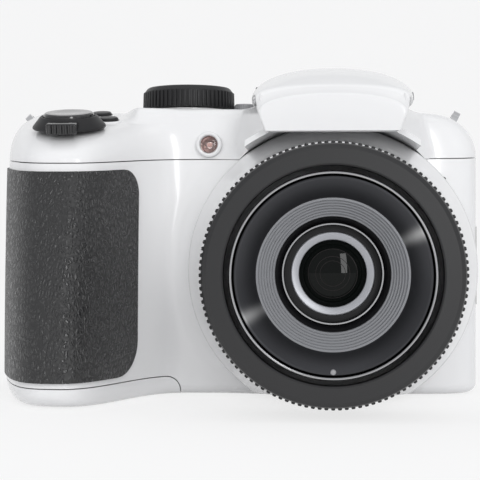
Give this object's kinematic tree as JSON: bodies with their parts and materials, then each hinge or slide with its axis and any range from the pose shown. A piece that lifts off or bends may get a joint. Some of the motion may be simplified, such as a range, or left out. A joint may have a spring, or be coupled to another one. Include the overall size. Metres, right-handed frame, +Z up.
{
  "type": "bridge camera",
  "caption": "White bridge camera with a leather-grained grip, retracting zoom lens in a knurled ring, pop-up flash, mode dial, rear screen and a hinged battery door.",
  "frame": {"origin": "mouth of the tripod socket, on the base plane under the lens axis", "axes": "+X to the right seen from the front, +Y from the front to the back, +Z up"},
  "size_m": [0.1211, 0.0852, 0.0821],
  "materials": {
    "white_shell": "smooth glossy moulding",
    "grip_leather": "leather-grained soft plastic",
    "black_plastic": "fine satin",
    "gloss_black": "polished",
    "ring_grey": "dark satin with ridged rim",
    "nose_metal": "dark turned metal",
    "grey_metal": "satin grey",
    "bright_metal": "polished",
    "lens_glass": "coated",
    "lamp_lens": "dark translucent",
    "screen_glass": "polished",
    "flash_clear": "prismatic",
    "steel": "plain",
    "brass": "plain",
    "board_green": "solder mask",
    "port_rubber": "matt",
    "record_red": "polished",
    "pack_grey": "label wrap"
  },
  "bodies": {
    "body": {"front_cover": "white_shell", "rear_cover": "white_shell", "top_cover": "white_shell", "grip_pad": "grip_leather", "door_hinge_pin": "steel", "lens_ring": "ring_grey", "lens_housing": "black_plastic", "image_sensor": "board_green", "zoom_motor": "steel", "chassis": "steel", "main_board": "board_green", "battery_holder": "black_plastic", "battery_pack": "pack_grey", "card_slot": "steel", "memory_card": "gloss_black", "flash_capacitor": "gloss_black", "flash_bracket": "steel", "flash_hinge_pins": "steel", "focus_lamp": "lamp_lens", "lamp_bezel": "white_shell", "screen_panel": "gloss_black", "screen_window": "screen_glass", "key_board": "board_green", "port_sockets": "steel", "strap_lugs": "bright_metal", "tripod_bush": "steel", "case_screws": "steel"},
    "cam": {"cam_ring": "grey_metal"},
    "barrel": {"sliding_barrel": "bright_metal"},
    "nose": {"front_barrel": "black_plastic", "nose_cone": "nose_metal", "ribbed_baffle": "grey_metal", "inner_bezel": "black_plastic", "glass_retainer": "grey_metal", "front_glass": "lens_glass"},
    "zoom_group": {"zoom_group_cell": "black_plastic", "zoom_group_lens": "lens_glass"},
    "focus_group": {"focus_group_cell": "black_plastic", "focus_group_lens": "lens_glass"},
    "pinion": {"motor_pinion": "brass"},
    "flash": {"flash_head": "white_shell", "flash_floor": "black_plastic", "flash_window": "flash_clear", "flash_reflector": "bright_metal", "flash_tube": "lens_glass"},
    "shutter": {"shutter_button": "gloss_black"},
    "lever": {"zoom_lever": "black_plastic"},
    "dial": {"mode_dial": "black_plastic"},
    "power": {"power_button": "grey_metal"},
    "drive": {"drive_button": "black_plastic"},
    "exposure": {"exposure_button": "black_plastic"},
    "record": {"record_key": "record_red"},
    "menu": {"menu_key": "grey_metal"},
    "play": {"play_key": "grey_metal"},
    "pad": {"four_way_pad": "grey_metal"},
    "ok": {"ok_key": "grey_metal"},
    "flap": {"port_flap": "port_rubber"},
    "door": {"battery_door": "white_shell"},
    "latch": {"battery_latch": "black_plastic"}
  },
  "joints": [
    {"name": "zoom_cam_turn", "type": "hinge", "parent": "body", "child": "cam", "pos_m": [0, -0.02, 0.0316], "axis": [0, -1, 0], "range_deg": [0, 70]},
    {"name": "barrel_slide", "type": "slide", "parent": "body", "child": "barrel", "axis": [0, -1, 0], "range_m": [0, 0.01802]},
    {"name": "nose_slide", "type": "slide", "parent": "barrel", "child": "nose", "axis": [0, -1, 0], "range_m": [0, 0.01602]},
    {"name": "zoom_group_slide", "type": "slide", "parent": "body", "child": "zoom_group", "axis": [0, -1, 0], "range_m": [0, 0.00602]},
    {"name": "pinion_turn", "type": "hinge", "parent": "body", "child": "pinion", "pos_m": [-0.02725, -0.01, 0.02168], "axis": [0, -1, 0], "range_deg": [-608, 1]},
    {"name": "focus_slide", "type": "slide", "parent": "body", "child": "focus_group", "axis": [0, -1, 0], "range_m": [-0.0015, 0.0015]},
    {"name": "flash_open", "type": "hinge", "parent": "body", "child": "flash", "pos_m": [0, 0.004, 0.07278], "axis": [-1, 0, 0], "range_deg": [0, 60]},
    {"name": "shutter_press", "type": "slide", "parent": "body", "child": "shutter", "axis": [0, 0.225, -0.9744], "range_m": [0, 0.001], "stiffness_N_per_m": 800},
    {"name": "zoom_lever_turn", "type": "hinge", "parent": "body", "child": "lever", "pos_m": [-0.0655, -0.0235, 0.06682], "axis": [0, -0.225, 0.9744], "range_deg": [-20, 20], "stiffness_Nm_per_rad": 0.02},
    {"name": "mode_dial_turn", "type": "hinge", "parent": "body", "child": "dial", "pos_m": [-0.0377, -0.001, 0.075], "axis": [0, 0, 1], "continuous": true},
    {"name": "power_press", "type": "slide", "parent": "body", "child": "power", "axis": [0, 0, -1], "range_m": [0, 0.0006], "stiffness_N_per_m": 600},
    {"name": "drive_press", "type": "slide", "parent": "body", "child": "drive", "axis": [0, 0.225, -0.9744], "range_m": [0, 0.0006], "stiffness_N_per_m": 600},
    {"name": "exposure_press", "type": "slide", "parent": "body", "child": "exposure", "axis": [0, 0.225, -0.9744], "range_m": [0, 0.0006], "stiffness_N_per_m": 600},
    {"name": "record_press", "type": "slide", "parent": "body", "child": "record", "axis": [0, -1, 0], "range_m": [0, 0.0006], "stiffness_N_per_m": 600},
    {"name": "menu_press", "type": "slide", "parent": "body", "child": "menu", "axis": [0, -1, 0], "range_m": [0, 0.0006], "stiffness_N_per_m": 600},
    {"name": "play_press", "type": "slide", "parent": "body", "child": "play", "axis": [0, -1, 0], "range_m": [0, 0.0006], "stiffness_N_per_m": 600},
    {"name": "ok_press", "type": "slide", "parent": "body", "child": "ok", "axis": [0, -1, 0], "range_m": [0, 0.0005], "stiffness_N_per_m": 600},
    {"name": "pad_rock", "type": "hinge", "parent": "body", "child": "pad", "pos_m": [-0.057, 0.012, 0.03], "axis": [0, 0, 1], "range_deg": [-2.5, 2.5], "stiffness_Nm_per_rad": 0.3},
    {"name": "port_flap_open", "type": "hinge", "parent": "body", "child": "flap", "pos_m": [0.03655, 0.0046, 0.0326], "axis": [0, 0, 1], "range_deg": [0, 95]},
    {"name": "battery_door_open", "type": "hinge", "parent": "body", "child": "door", "pos_m": [-0.04205, 0, 0.001], "axis": [0, -1, 0], "range_deg": [0, 95]},
    {"name": "battery_latch_slide", "type": "slide", "parent": "door", "child": "latch", "axis": [1, 0, 0], "range_m": [0, 0.003]}
  ],
  "couplings": [
    {"joint": "barrel_slide", "follows": "zoom_cam_turn", "m_per_rad": 0.014733},
    {"joint": "nose_slide", "follows": "zoom_cam_turn", "m_per_rad": 0.013096},
    {"joint": "zoom_group_slide", "follows": "zoom_cam_turn", "m_per_rad": 0.0049111},
    {"joint": "pinion_turn", "follows": "zoom_cam_turn", "ratio": -8.6667}
  ]
}
